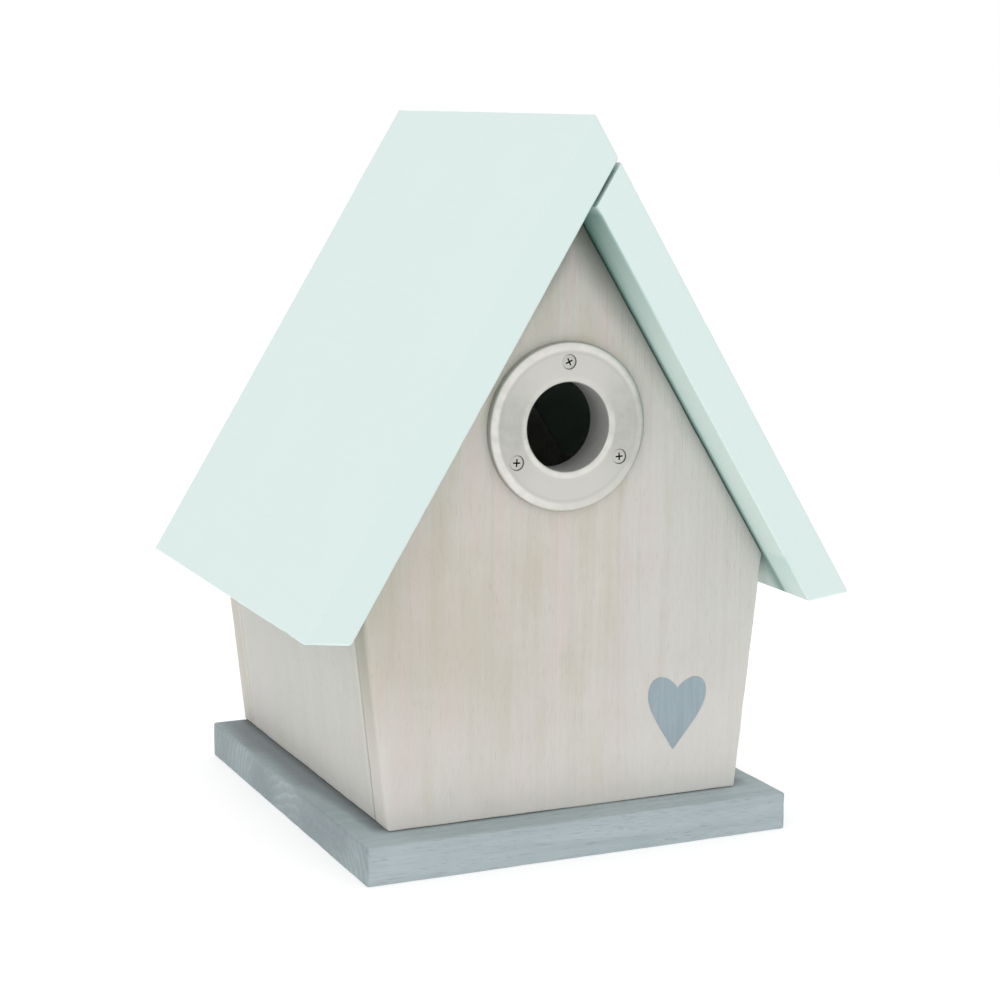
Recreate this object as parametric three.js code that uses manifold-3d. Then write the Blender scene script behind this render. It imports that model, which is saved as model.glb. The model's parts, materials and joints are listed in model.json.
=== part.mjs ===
// A wooden nest box with a steep two-board roof, millimetres, +Z up, front facing -Y.
// The origin is the middle of the base plate's underside. The right roof board is a hinged lid.

import * as THREE from 'three';
import { mergeVertices } from 'three/addons/utils/BufferGeometryUtils.js';
import Module from 'manifold-3d';

const wasm = await Module();
wasm.setup();

// ---- Driving dimensions ----

const baseWidth = 183;
const baseDepth = 196;
const baseThickness = 15.5;
const baseBack = baseDepth / 2;

const boardThickness = 14; // front panel, back panel and walls
const bodyFront = -82.3;
const bodyBottomWidth = 153;
const wallLean = 0.11; // outward run of a side for each millimetre of height

const ridgeHeight = 290;
const eaveHeight = 97.7; // outer corner of the eave
const eaveDrop = 2.3; // how much lower the eave's inner corner is
const roofPitch = THREE.MathUtils.degToRad(58.62);
const roofThickness = 17.5;
const roofFront = -101.5;
const ridgeGap = 1.3; // slot between the fixed roof board and the lid
const restGap = 0.3; // clearance where a board meets a sloping neighbour

const entranceX = -2.4;
const entranceHeight = 170;
const entranceRadius = 17.5;
const ringRadius = 33.2;
const ringThickness = 3.5;
const ringLip = new THREE.Vector2(1.6, 0.9); // rounding of the ring's inner edge, inward and in depth
const ringEdge = new THREE.Vector2(3.2, 1.2); // rounding of its outer edge
const ringScrewCircle = 25.4;
const ringScrewCount = 3;
const ringScrewSink = 0.2;

const heartX = 48.4;
const heartMiddle = 49.7;
const heartWidth = 26.4;
const heartHeight = 29.9;
const heartTilt = THREE.MathUtils.degToRad(-4);
const heartFilm = 0.2;
const heartSteps = 24;
// Points and handles of half the heart, as fractions of its half width and its height.
const heartFlankPull = new THREE.Vector2(0.6, 0.36);
const heartCheekLow = new THREE.Vector2(1, 0.58);
const heartCheek = new THREE.Vector2(1, 0.77);
const heartCheekHigh = new THREE.Vector2(1, 1.07);
const heartNotchPull = new THREE.Vector2(0.38, 1.07);
const heartNotch = new THREE.Vector2(0, 0.85);

const hingeLength = 25;
const hingeLeafWidth = 11.5;
const hingeLeafThickness = 1;
const hingeSpacing = 116;
const hingeKnuckleRadius = 2.3;
const hingePinRadius = 1.1;
const hingeBoreRadius = 1.2;
const hingeLift = 0.1; // clearance between the hinge and the board it lies on
const hingeScrewAcross = 7.2; // from the hinge line to the screws
const hingeScrewAlong = 7.5; // from the hinge's middle to the screws
const hingePinOverhang = 0.6;

const drainRadius = 3;
const drainX = 35;
const drainFrontY = -40;
const drainRearY = 56;

const hangerHeight = 200;
const hangerWidth = 44;
const hangerTall = 16;
const hangerThickness = 1.2;
const hangerScrewInset = 5;
const keyholeHeadRadius = 4.5;
const keyholeHeadDrop = 2.2;
const keyholeSlotRadius = 2.2;
const keyholeSlotTop = 5.2;
const keyholeRoomWidth = 16; // hollow behind the keyhole for the wall screw's head
const keyholeRoomDepth = 4;
const keyholeRoomRim = 1;

const screwSink = 0.05;
const baseScrewSink = 0.5;
const baseScrewFrontY = -45;
const baseScrewRearY = 61;
const bradSink = 1.5;
const bradLowZ = 34;
const bradHighZ = 92;
const roofBradNearX = 30;
const roofBradFarX = 85;

const roundSides = 40;
const hingeSides = 16;
const smallSides = 12;
const bradSides = 8;
const roundingSteps = 5;
const drillClearance = 0.1;
const cutBeyond = 1; // how far a cutter runs past the face it opens
const weldDistance = 1e-5;

// ---- Colours ----

const mintPaint = { color: 0xdeede9, roughness: 0.6, metalness: 0 };
const whitewash = { color: 0xcdc8c0, roughness: 0.75, metalness: 0 };
const blueGreyStain = { color: 0xa8b8bc, roughness: 0.65, metalness: 0 };
const satinMetal = { color: 0xd2d0ca, roughness: 0.35, metalness: 0.9 };
const zincPlate = { color: 0xb9bcc0, roughness: 0.4, metalness: 0.9 };

// ---- Sections and helpers ----

const slope = Math.tan(roofPitch);
const roofRise = roofThickness / Math.cos(roofPitch);
const bodyBottom = baseThickness;
const wallFront = bodyFront + boardThickness;
const wallBack = baseBack - boardThickness;
const wallRun = boardThickness * Math.hypot(1, wallLean);

const group = new THREE.Group();
const solids = new Map();

function solidOf(geometry) {
  const bare = geometry.clone();
  bare.deleteAttribute('normal');
  bare.deleteAttribute('uv');
  const merged = mergeVertices(bare, weldDistance);
  return new wasm.Manifold(new wasm.Mesh({
    numProp: 3,
    vertProperties: new Float32Array(merged.attributes.position.array),
    triVerts: new Uint32Array(merged.index.array),
  }));
}

function geometryOf(solid) {
  const mesh = solid.getMesh();
  const geometry = new THREE.BufferGeometry();
  geometry.setAttribute('position', new THREE.BufferAttribute(mesh.vertProperties, 3));
  geometry.setIndex(new THREE.BufferAttribute(mesh.triVerts, 1));
  geometry.computeVertexNormals();
  return geometry;
}

// Keeps a solid in the model's own frame, so that fasteners can still be drilled into it.
function keep(name, geometry, look) {
  solids.set(name, { solid: solidOf(geometry), look });
}

function cut(name, cutter) {
  const entry = solids.get(name);
  entry.solid = entry.solid.subtract(solidOf(cutter));
}

function add(name, geometry, look, parent = group) {
  const mesh = new THREE.Mesh(geometry, new THREE.MeshStandardMaterial(look));
  mesh.name = name;
  parent.add(mesh);
  return mesh;
}

function shapeOf(points) {
  return new THREE.Shape(points.map(([x, z]) => new THREE.Vector2(x, z)));
}

// Extrudes an outline drawn in X and Z from one Y to another.
function profileBoard(outline, fromY, toY, curveSegments = 1) {
  const depth = toY - fromY;
  const geometry = new THREE.ExtrudeGeometry(outline, { depth, bevelEnabled: false, curveSegments });
  return geometry.rotateX(Math.PI / 2).translate(0, toY, 0);
}

function boxBetween(low, high) {
  const size = high.map((value, i) => value - low[i]);
  const middle = high.map((value, i) => (value + low[i]) / 2);
  return new THREE.BoxGeometry(...size).translate(...middle);
}

function sideX(z) {
  return bodyBottomWidth / 2 + wallLean * (z - bodyBottom);
}

// Height of the roof's underside, less a clearance square to the slope.
function undersideZ(x, clearance = 0) {
  return ridgeHeight - (roofRise + clearance / Math.cos(roofPitch)) - Math.abs(x) * slope;
}

// Where a side leaning like the walls, offset in X, reaches the roof's underside.
function shoulderZ(offset, clearance) {
  const top = undersideZ(0, clearance);
  const foot = bodyBottomWidth / 2 + offset;
  return (top - (foot - wallLean * bodyBottom) * slope) / (1 + wallLean * slope);
}

// ---- Fasteners ----
// A fastener is turned about its own Y axis, with its head's top at the origin.

const ringScrew = { head: 3, headDepth: 1.8, shank: 1.5, length: 14 };
const smallScrew = { head: 2.4, headDepth: 1, shank: 1.2, length: 10 };
const baseScrew = { head: 3.6, headDepth: 2.4, shank: 1.8, length: 38 };
const brad = { head: 1, headDepth: 0.5, shank: 0.7, length: 30 };

function fastenerProfile({ head, headDepth, shank, length }, clearance, above) {
  const points = [
    [0, -length - clearance],
    [shank + clearance, -length + 2 * shank],
    [shank + clearance, -headDepth],
    [head + clearance, 0],
  ];
  if (above > 0) {
    points.push([head + clearance, above]);
  }
  points.push([0, above]);
  return points.map(([r, y]) => new THREE.Vector2(r, y));
}

function placeAlong(point, outward) {
  const turn = new THREE.Quaternion();
  turn.setFromUnitVectors(new THREE.Vector3(0, 1, 0), outward.clone().normalize());
  return new THREE.Matrix4().compose(point, turn, new THREE.Vector3(1, 1, 1));
}

// Drives a fastener at a point, opens its hole in the named boards, and returns its mesh.
function drive(name, kind, point, outward, boards, above = cutBeyond, sides = smallSides) {
  const placement = placeAlong(point, outward);
  const hole = new THREE.LatheGeometry(fastenerProfile(kind, drillClearance, above), sides);
  hole.applyMatrix4(placement);
  boards.forEach((board) => cut(board, hole));
  const geometry = new THREE.LatheGeometry(fastenerProfile(kind, 0, 0), sides);
  const mesh = add(name, geometry, zincPlate);
  mesh.applyMatrix4(placement);
  return mesh;
}

// ---- Boards ----

function makeBase() {
  const half = baseWidth / 2;
  keep('base_plate', boxBetween([-half, -baseBack, 0], [half, baseBack, baseThickness]), blueGreyStain);
  for (const x of [-drainX, drainX]) {
    for (const y of [drainFrontY, drainRearY]) {
      const drain = new THREE.CylinderGeometry(drainRadius, drainRadius, 3 * baseThickness, smallSides);
      cut('base_plate', drain.rotateX(Math.PI / 2).translate(x, y, 0));
    }
  }
}

function gableOutline() {
  const shoulder = shoulderZ(0, restGap);
  return shapeOf([
    [-sideX(bodyBottom), bodyBottom],
    [sideX(bodyBottom), bodyBottom],
    [sideX(shoulder), shoulder],
    [0, undersideZ(0, restGap)],
    [-sideX(shoulder), shoulder],
  ]);
}

function makeGables() {
  keep('front_panel', profileBoard(gableOutline(), bodyFront, wallFront), whitewash);
  keep('back_panel', profileBoard(gableOutline(), wallBack, baseBack), whitewash);
  const bore = new THREE.CylinderGeometry(
    entranceRadius + restGap, entranceRadius + restGap, 3 * boardThickness, roundSides);
  cut('front_panel', bore.translate(entranceX, bodyFront, entranceHeight));
}

function makeWalls() {
  const outerTop = shoulderZ(0, restGap);
  const innerTop = shoulderZ(-wallRun, restGap);
  for (const [name, side] of [['left_wall', -1], ['right_wall', 1]]) {
    const corners = [
      [side * sideX(bodyBottom), bodyBottom],
      [side * sideX(outerTop), outerTop],
      [side * (sideX(innerTop) - wallRun), innerTop],
      [side * (sideX(bodyBottom) - wallRun), bodyBottom],
    ];
    keep(name, profileBoard(shapeOf(corners), wallFront, wallBack), whitewash);
  }
}

function makeRoofBoards() {
  const eaveOuter = (ridgeHeight - eaveHeight) / slope;
  const eaveInner = (ridgeHeight - roofRise - eaveHeight + eaveDrop) / slope;
  const seamX = roofRise / (2 * slope);
  const fixedBoard = shapeOf([
    [-eaveOuter, eaveHeight],
    [-eaveInner, eaveHeight - eaveDrop],
    [seamX, ridgeHeight - seamX * slope],
    [0, ridgeHeight],
  ]);
  keep('roof_panel_left', profileBoard(fixedBoard, roofFront, baseBack), mintPaint);

  const gapRise = ridgeGap / Math.cos(roofPitch);
  const lidOuterX = (roofRise + gapRise) / (2 * slope);
  const lidInnerX = gapRise / (2 * slope);
  const lidBoard = shapeOf([
    [eaveInner, eaveHeight - eaveDrop],
    [eaveOuter, eaveHeight],
    [lidOuterX, ridgeHeight - lidOuterX * slope],
    [lidInnerX, undersideZ(lidInnerX)],
  ]);
  keep('roof_panel_right', profileBoard(lidBoard, roofFront, baseBack), mintPaint);
}

// ---- Entrance ring ----

// A quarter of an ellipse as radius and height, with its half axes in size.
function quarterRound(centreR, centreY, size, fromAngle) {
  const points = [];
  for (let i = 0; i <= roundingSteps; i += 1) {
    const angle = fromAngle + (i / roundingSteps) * (Math.PI / 2);
    points.push([centreR + size.x * Math.cos(angle), centreY + size.y * Math.sin(angle)]);
  }
  return points;
}

function makeRing() {
  const section = [
    [entranceRadius, 0],
    [ringRadius, 0],
    ...quarterRound(ringRadius - ringEdge.x, ringThickness - ringEdge.y, ringEdge, 0),
    ...quarterRound(entranceRadius + ringLip.x, ringThickness - ringLip.y, ringLip, Math.PI / 2),
    [entranceRadius, 0],
  ];
  const points = section.map(([r, y]) => new THREE.Vector2(r, y));
  const ring = new THREE.LatheGeometry(points, roundSides);
  const out = new THREE.Vector3(0, -1, 0);
  const placement = placeAlong(new THREE.Vector3(entranceX, bodyFront, entranceHeight), out);
  keep('entrance_ring', ring.applyMatrix4(placement), satinMetal);
  for (let i = 0; i < ringScrewCount; i += 1) {
    const angle = Math.PI / 2 - (i / ringScrewCount) * 2 * Math.PI;
    const point = new THREE.Vector3(
      entranceX + ringScrewCircle * Math.cos(angle),
      bodyFront - ringThickness + ringScrewSink,
      entranceHeight + ringScrewCircle * Math.sin(angle));
    drive(`ring_screw_${i + 1}`, ringScrew, point, out, ['entrance_ring', 'front_panel']);
  }
}

// The heart's outline, from its tip round both lobes, as fractions of its half width and its height.
function heartOutline() {
  const tip = new THREE.Vector2(0, 0);
  const flank = new THREE.CubicBezierCurve(tip, heartFlankPull, heartCheekLow, heartCheek);
  const lobe = new THREE.CubicBezierCurve(heartCheek, heartCheekHigh, heartNotchPull, heartNotch);
  const right = [...flank.getPoints(heartSteps), ...lobe.getPoints(heartSteps).slice(1)];
  const left = right.slice(1, -1).reverse().map(({ x, y }) => new THREE.Vector2(-x, y));
  return [...right, ...left];
}

function makeHeart() {
  const origin = new THREE.Vector2(0, 0);
  const size = new THREE.Vector2(heartWidth / 2, heartHeight);
  const points = heartOutline().map((point) => {
    const placed = point.clone().multiply(size);
    placed.y -= heartHeight / 2;
    placed.rotateAround(origin, heartTilt);
    return placed.add(new THREE.Vector2(heartX, heartMiddle));
  });
  const geometry = profileBoard(new THREE.Shape(points), bodyFront - heartFilm, bodyFront);
  add('heart_motif', geometryOf(solidOf(geometry)), blueGreyStain);
}

// ---- Lid hinges ----
// The lid frame lies on the lid's outer face: X runs down the slope, Z stands out from it.

const lidFrame = new THREE.Group();
const lidFrameX = (roofRise + ridgeGap / Math.cos(roofPitch) / 2) / (2 * slope);
lidFrame.position.set(lidFrameX, 0, ridgeHeight - lidFrameX * slope);
lidFrame.rotation.y = roofPitch;
lidFrame.updateMatrixWorld();
group.add(lidFrame);

const knuckleZ = hingeLift + hingeKnuckleRadius;

function rodAlongY(radius, fromY, toY) {
  const rod = new THREE.CylinderGeometry(radius, radius, toY - fromY, hingeSides);
  return rod.translate(0, (fromY + toY) / 2, knuckleZ);
}

// One leaf on the side given, with its knuckles at the spans given and room for the other leaf's.
function hingeLeaf(side, spans, otherSpans, middleY) {
  const inner = hingeKnuckleRadius + restGap;
  const [low, high] = side < 0 ? [-hingeLeafWidth, 0] : [0, hingeLeafWidth];
  const plate = boxBetween(
    [low, middleY - hingeLength / 2, hingeLift],
    [high, middleY + hingeLength / 2, hingeLift + hingeLeafThickness]);
  let leaf = solidOf(plate);
  for (const [from, to] of otherSpans) {
    const room = boxBetween([-inner, from - restGap / 2, 0], [inner, to + restGap / 2, 2 * knuckleZ]);
    leaf = leaf.subtract(solidOf(room));
  }
  for (const [from, to] of spans) {
    leaf = leaf.add(solidOf(rodAlongY(hingeKnuckleRadius, from, to)));
  }
  const bore = rodAlongY(hingeBoreRadius, middleY - hingeLength, middleY + hingeLength);
  return leaf.subtract(solidOf(bore));
}

function makeHinge(place, middleY) {
  const start = middleY - hingeLength / 2;
  const third = hingeLength / 3;
  const outerSpans = [[start, start + third], [start + 2 * third, start + hingeLength]];
  const innerSpans = [[start + third + restGap / 2, start + 2 * third - restGap / 2]];
  const leaves = [
    { name: `hinge_fixed_leaf_${place}`, side: -1, spans: outerSpans, others: innerSpans,
      board: 'roof_panel_left', screw: `fixed_leaf_screw_${place}` },
    { name: `hinge_lid_leaf_${place}`, side: 1, spans: innerSpans, others: outerSpans,
      board: 'roof_panel_right', screw: `lid_leaf_screw_${place}` },
  ];
  for (const { name, side, spans, others, board, screw } of leaves) {
    const leaf = geometryOf(hingeLeaf(side, spans, others, middleY));
    keep(name, leaf.applyMatrix4(lidFrame.matrixWorld), zincPlate);
    const outward = new THREE.Vector3(0, 0, 1).transformDirection(lidFrame.matrixWorld);
    for (const [i, offset] of [-1, 1].entries()) {
      const point = new THREE.Vector3(
        side * hingeScrewAcross,
        middleY + offset * hingeScrewAlong,
        hingeLift + hingeLeafThickness - screwSink);
      point.applyMatrix4(lidFrame.matrixWorld);
      drive(`${screw}_${i + 1}`, smallScrew, point, outward, [name, board]);
    }
  }
  const pin = rodAlongY(
    hingePinRadius, start - hingePinOverhang, start + hingeLength + hingePinOverhang);
  add(`hinge_pin_${place}`, pin, zincPlate, lidFrame);
}

// ---- Hanger plate ----

function keyhole(fromY, toY) {
  const head = new THREE.CylinderGeometry(keyholeHeadRadius, keyholeHeadRadius, toY - fromY, smallSides);
  head.translate(0, (fromY + toY) / 2, hangerHeight - keyholeHeadDrop);
  const slot = boxBetween(
    [-keyholeSlotRadius, fromY, hangerHeight - keyholeHeadDrop],
    [keyholeSlotRadius, toY, hangerHeight + keyholeSlotTop]);
  return geometryOf(solidOf(head).add(solidOf(slot)));
}

function makeHanger() {
  const face = baseBack - drillClearance;
  const seat = face - hangerThickness;
  const halfX = hangerWidth / 2;
  const halfZ = hangerTall / 2;
  const roomZ = halfZ - keyholeRoomRim;
  keep('hanger_plate', boxBetween(
    [-halfX, seat, hangerHeight - halfZ], [halfX, face, hangerHeight + halfZ]), zincPlate);
  cut('hanger_plate', keyhole(seat - cutBeyond, face + cutBeyond));
  cut('back_panel', boxBetween(
    [-halfX - restGap, seat, hangerHeight - halfZ - restGap],
    [halfX + restGap, baseBack + cutBeyond, hangerHeight + halfZ + restGap]));
  cut('back_panel', boxBetween(
    [-keyholeRoomWidth / 2, seat - keyholeRoomDepth, hangerHeight - roomZ],
    [keyholeRoomWidth / 2, baseBack, hangerHeight + roomZ]));
  const out = new THREE.Vector3(0, 1, 0);
  for (const [i, side] of [-1, 1].entries()) {
    const point = new THREE.Vector3(side * (halfX - hangerScrewInset), face - screwSink, hangerHeight);
    drive(`hanger_screw_${i + 1}`, smallScrew, point, out, ['hanger_plate', 'back_panel']);
  }
}

// ---- Screws and brads through the boards ----

function makeBaseScrews() {
  let number = 1;
  for (const side of [-1, 1]) {
    for (const y of [baseScrewFrontY, baseScrewRearY]) {
      const point = new THREE.Vector3(side * (sideX(bodyBottom) - wallRun / 2), y, baseScrewSink);
      const wall = side < 0 ? 'left_wall' : 'right_wall';
      drive(`base_screw_${number}`, baseScrew, point, new THREE.Vector3(0, 0, -1), ['base_plate', wall]);
      number += 1;
    }
  }
}

// Brads are set below the surface and stopped, so their holes don't show on the outside.
function makeBrads() {
  for (const [end, faceY, outY] of [['front', bodyFront, -1], ['back', baseBack, 1]]) {
    const panel = `${end}_panel`;
    const out = new THREE.Vector3(0, outY, 0);
    let number = 1;
    for (const side of [-1, 1]) {
      const wall = side < 0 ? 'left_wall' : 'right_wall';
      for (const z of [bradLowZ, bradHighZ]) {
        const point = new THREE.Vector3(side * (sideX(z) - wallRun / 2), faceY - outY * bradSink, z);
        drive(`${end}_brad_${number}`, brad, point, out, [panel, wall], 0, bradSides);
        number += 1;
      }
    }
  }
  const outward = new THREE.Vector3(-Math.sin(roofPitch), 0, Math.cos(roofPitch));
  let number = 1;
  for (const [panel, y] of [['front_panel', bodyFront + boardThickness / 2],
    ['back_panel', baseBack - boardThickness / 2]]) {
    for (const x of [-roofBradFarX, -roofBradNearX]) {
      const point = new THREE.Vector3(x, y, ridgeHeight + x * slope);
      point.addScaledVector(outward, -bradSink);
      drive(`roof_brad_${number}`, brad, point, outward, ['roof_panel_left', panel], 0, bradSides);
      number += 1;
    }
  }
}

makeBase();
makeGables();
makeWalls();
makeRoofBoards();
makeRing();
makeHeart();
makeHinge('front', (roofFront + baseBack) / 2 - hingeSpacing / 2);
makeHinge('rear', (roofFront + baseBack) / 2 + hingeSpacing / 2);
makeHanger();
makeBaseScrews();
makeBrads();

for (const [name, { solid, look }] of solids) {
  add(name, geometryOf(solid), look);
}

export default group;
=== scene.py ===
"""The looks of a wooden nest box with a mint roof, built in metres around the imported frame."""

import json
import math

import bmesh
import bpy
import numpy as np
from mathutils import Matrix, Vector, noise
from mathutils.geometry import convex_hull_2d


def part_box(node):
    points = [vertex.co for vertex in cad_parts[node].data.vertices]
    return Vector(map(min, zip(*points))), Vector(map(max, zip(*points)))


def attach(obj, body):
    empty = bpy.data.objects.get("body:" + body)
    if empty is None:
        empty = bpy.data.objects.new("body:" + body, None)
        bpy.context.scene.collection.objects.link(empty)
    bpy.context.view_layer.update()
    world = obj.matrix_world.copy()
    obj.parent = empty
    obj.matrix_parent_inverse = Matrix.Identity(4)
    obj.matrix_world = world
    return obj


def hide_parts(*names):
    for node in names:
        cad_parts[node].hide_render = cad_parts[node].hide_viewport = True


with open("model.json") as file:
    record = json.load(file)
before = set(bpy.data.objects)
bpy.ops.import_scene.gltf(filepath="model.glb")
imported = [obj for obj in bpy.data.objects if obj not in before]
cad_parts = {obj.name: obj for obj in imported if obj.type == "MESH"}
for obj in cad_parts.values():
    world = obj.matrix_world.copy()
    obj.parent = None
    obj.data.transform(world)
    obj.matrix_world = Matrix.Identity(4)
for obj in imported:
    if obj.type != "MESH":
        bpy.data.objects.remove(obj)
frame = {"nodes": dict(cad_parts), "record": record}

MM = 0.001
HOUSING, LID = "housing", "lid"
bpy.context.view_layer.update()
joint = frame["record"]["behaviour"]["joints"][0]
pivot = Vector(joint["pos_m"])


# ---- Camera, light and floor ----

CAMERA_AZIMUTH = math.radians(-24.05)
CAMERA_ELEVATION = math.radians(9.94)
CAMERA_ROLL = math.radians(0.22)
CAMERA_DISTANCE = 0.98366
CAMERA_TARGET = Vector((0.00578, -0.0023, 0.12743))
CAMERA_LENS = 83.64
CAMERA_SENSOR = 36
KEY_PLACE = (-1.7, -1.1, 1.3)
KEY_AIM = (0, 0, 0.14)
KEY_SIZE = 1.0
KEY_POWER = 3
FLOOR_SIZE = 12.0
FLOOR_GREY = 0.55
FLOOR_GLOW = 0.55


def make_camera():
    """The camera, placed on a sphere round its target and turned about its line of sight."""
    azimuth, elevation, roll = CAMERA_AZIMUTH, CAMERA_ELEVATION, CAMERA_ROLL
    back = Vector((
        math.sin(azimuth) * math.cos(elevation),
        -math.cos(azimuth) * math.cos(elevation),
        math.sin(elevation)))
    level = Vector((math.cos(azimuth), math.sin(azimuth), 0))
    rise = back.cross(level)
    right = math.cos(roll) * level + math.sin(roll) * rise
    up = math.cos(roll) * rise - math.sin(roll) * level
    data = bpy.data.cameras.new("camera")
    data.lens, data.sensor_width = CAMERA_LENS, CAMERA_SENSOR
    camera = bpy.data.objects.new("camera", data)
    camera.matrix_world = Matrix.Translation(CAMERA_TARGET + back * CAMERA_DISTANCE) @ Matrix(
        (right, up, back)).transposed().to_4x4()
    bpy.context.scene.collection.objects.link(camera)
    bpy.context.scene.camera = camera


def area_light(name, place, aim, size, power):
    data = bpy.data.lights.new(name, "AREA")
    data.size, data.energy = size, power
    lamp = bpy.data.objects.new(name, data)
    lamp.location = place
    lamp.rotation_euler = (Vector(aim) - Vector(place)).to_track_quat("-Z", "Y").to_euler()
    bpy.context.scene.collection.objects.link(lamp)


def make_studio():
    """White surroundings, one soft key light and a pale floor that glows a little."""
    scene = bpy.context.scene
    scene.view_settings.view_transform = "Standard"
    world = bpy.data.worlds.new("studio")
    world.use_nodes = True
    background = world.node_tree.nodes["Background"]
    background.inputs["Color"].default_value = (1, 1, 1, 1)
    background.inputs["Strength"].default_value = 1.0
    scene.world = world
    area_light("key", KEY_PLACE, KEY_AIM, KEY_SIZE, KEY_POWER)

    mesh = bpy.data.meshes.new("floor")
    half = FLOOR_SIZE / 2
    corners = [(-half, -half, 0), (half, -half, 0), (half, half, 0), (-half, half, 0)]
    mesh.from_pydata(corners, [], [(0, 1, 2, 3)])
    floor = bpy.data.objects.new("floor", mesh)
    scene.collection.objects.link(floor)
    paper = bpy.data.materials.new("floor_paper")
    paper.use_nodes = True
    shader = paper.node_tree.nodes["Principled BSDF"]
    shader.inputs["Base Color"].default_value = (FLOOR_GREY, FLOOR_GREY, FLOOR_GREY, 1)
    shader.inputs["Roughness"].default_value = 0.9
    shader.inputs["Specular IOR Level"].default_value = 0.0
    shader.inputs["Emission Color"].default_value = (1, 1, 1, 1)
    shader.inputs["Emission Strength"].default_value = FLOOR_GLOW
    mesh.materials.append(paper)


# ---- Shader helpers ----

class Shading:
    """One material's node tree, with short calls that add a node and return its output.

    Places in it are in millimetres, in the frame that the part was packed in.
    """

    def __init__(self, name):
        self.material = bpy.data.materials.new(name)
        self.material.use_nodes = True
        self.tree = self.material.node_tree
        self.shader = self.tree.nodes["Principled BSDF"]
        coordinates = self.node("ShaderNodeTexCoord")
        scale = self.node("ShaderNodeVectorMath", operation="SCALE")
        self.link(coordinates.outputs["Object"], scale.inputs[0])
        scale.inputs["Scale"].default_value = 1000
        self.place = scale.outputs[0]
        split = self.node("ShaderNodeSeparateXYZ")
        self.link(self.place, split.inputs[0])
        self.x, self.y, self.z = split.outputs

    def node(self, kind, **settings):
        made = self.tree.nodes.new(kind)
        for key, value in settings.items():
            setattr(made, key, value)
        return made

    def link(self, output, socket):
        self.tree.links.new(output, socket)

    def feed(self, socket, value):
        """Links an output to a socket, or sets a constant on it."""
        if isinstance(value, bpy.types.NodeSocket):
            self.link(value, socket)
        elif isinstance(value, tuple) and len(value) == 3 and socket.type == "RGBA":
            socket.default_value = (*value, 1)
        else:
            socket.default_value = value

    def math(self, operation, a, b=0.0, clamp=False):
        made = self.node("ShaderNodeMath", operation=operation, use_clamp=clamp)
        for socket, value in zip(made.inputs, (a, b)):
            self.feed(socket, value)
        return made.outputs[0]

    def plus(self, a, b, clamp=False):
        return self.math("ADD", a, b, clamp)

    def minus(self, a, b, clamp=False):
        return self.math("SUBTRACT", a, b, clamp)

    def times(self, a, b):
        return self.math("MULTIPLY", a, b)

    def size(self, a):
        return self.math("ABSOLUTE", a)

    def hypotenuse(self, a, b):
        return self.math("SQRT", self.plus(self.times(a, a), self.times(b, b)))

    def vector(self, x, y, z):
        made = self.node("ShaderNodeCombineXYZ")
        for socket, value in zip(made.inputs, (x, y, z)):
            self.feed(socket, value)
        return made.outputs[0]

    def mix(self, factor, a, b, blend="MIX"):
        made = self.node("ShaderNodeMix", data_type="RGBA", blend_type=blend, clamp_factor=True)
        factor_in, a_in, b_in = made.inputs[0], made.inputs[6], made.inputs[7]
        self.feed(factor_in, factor)
        self.feed(a_in, a)
        self.feed(b_in, b)
        return made.outputs[2]

    def noise(self, place, scale=1.0, detail=2.0, roughness=0.5):
        made = self.node("ShaderNodeTexNoise", noise_dimensions="3D")
        self.feed(made.inputs["Vector"], place)
        for key, value in (("Scale", scale), ("Detail", detail), ("Roughness", roughness)):
            made.inputs[key].default_value = value
        return made.outputs[0]

    def chance(self, value):
        """A number from 0 to 1 drawn for each whole number."""
        made = self.node("ShaderNodeTexWhiteNoise", noise_dimensions="1D")
        self.feed(made.inputs["W"], value)
        return made.outputs["Value"]

    def spread(self, value, low, high, to_low=0.0, to_high=1.0, smooth=False):
        """Maps low to to_low and high to to_high, and holds the end values beyond them."""
        kind = "SMOOTHSTEP" if smooth else "LINEAR"
        made = self.node("ShaderNodeMapRange", interpolation_type=kind)
        for socket, number in zip(made.inputs[:5], (value, low, high, to_low, to_high)):
            self.feed(socket, number)
        return made.outputs[0]

    def fade(self, value, origin, ends, to_low=0.0, to_high=1.0, smooth=False):
        """A spread with its two ends measured from an origin."""
        return self.spread(value, origin + ends[0], origin + ends[1], to_low, to_high, smooth)

    def attribute(self, name):
        return self.node("ShaderNodeAttribute", attribute_name=name).outputs["Fac"]

    def finish(self, colour, roughness, height, relief, **constants):
        """Feeds the shader, with the height as a bump of so many metres."""
        self.feed(self.shader.inputs["Base Color"], colour)
        self.feed(self.shader.inputs["Roughness"], roughness)
        for key, value in constants.items():
            self.shader.inputs[key.replace("_", " ")].default_value = value
        bump = self.node("ShaderNodeBump")
        bump.inputs["Strength"].default_value = 1
        bump.inputs["Distance"].default_value = relief
        self.feed(bump.inputs["Height"], height)
        self.link(bump.outputs[0], self.shader.inputs["Normal"])
        return self.material


# ---- The figure of the wood ----

RING_SWING = 40
RING_SINK = 30
RING_WANDER = 16
GLUE_HALF_WIDTH = 0.35


def grain_space(s, along, shift):
    """Object millimetres with the wood's length on the third axis."""
    axes = {"x": (s.y, s.z, s.x), "y": (s.x, s.z, s.y), "z": (s.x, s.y, s.z)}[along]
    return [s.plus(value, amount) for value, amount in zip(axes, shift)]


def stretch(s, wood, across, depth, length):
    """The wood's coordinates scaled, so that a noise on them is drawn out along the grain."""
    return s.vector(
        s.times(wood["across"], across),
        s.times(wood["depth"], depth),
        s.times(wood["length"], length))


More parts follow.
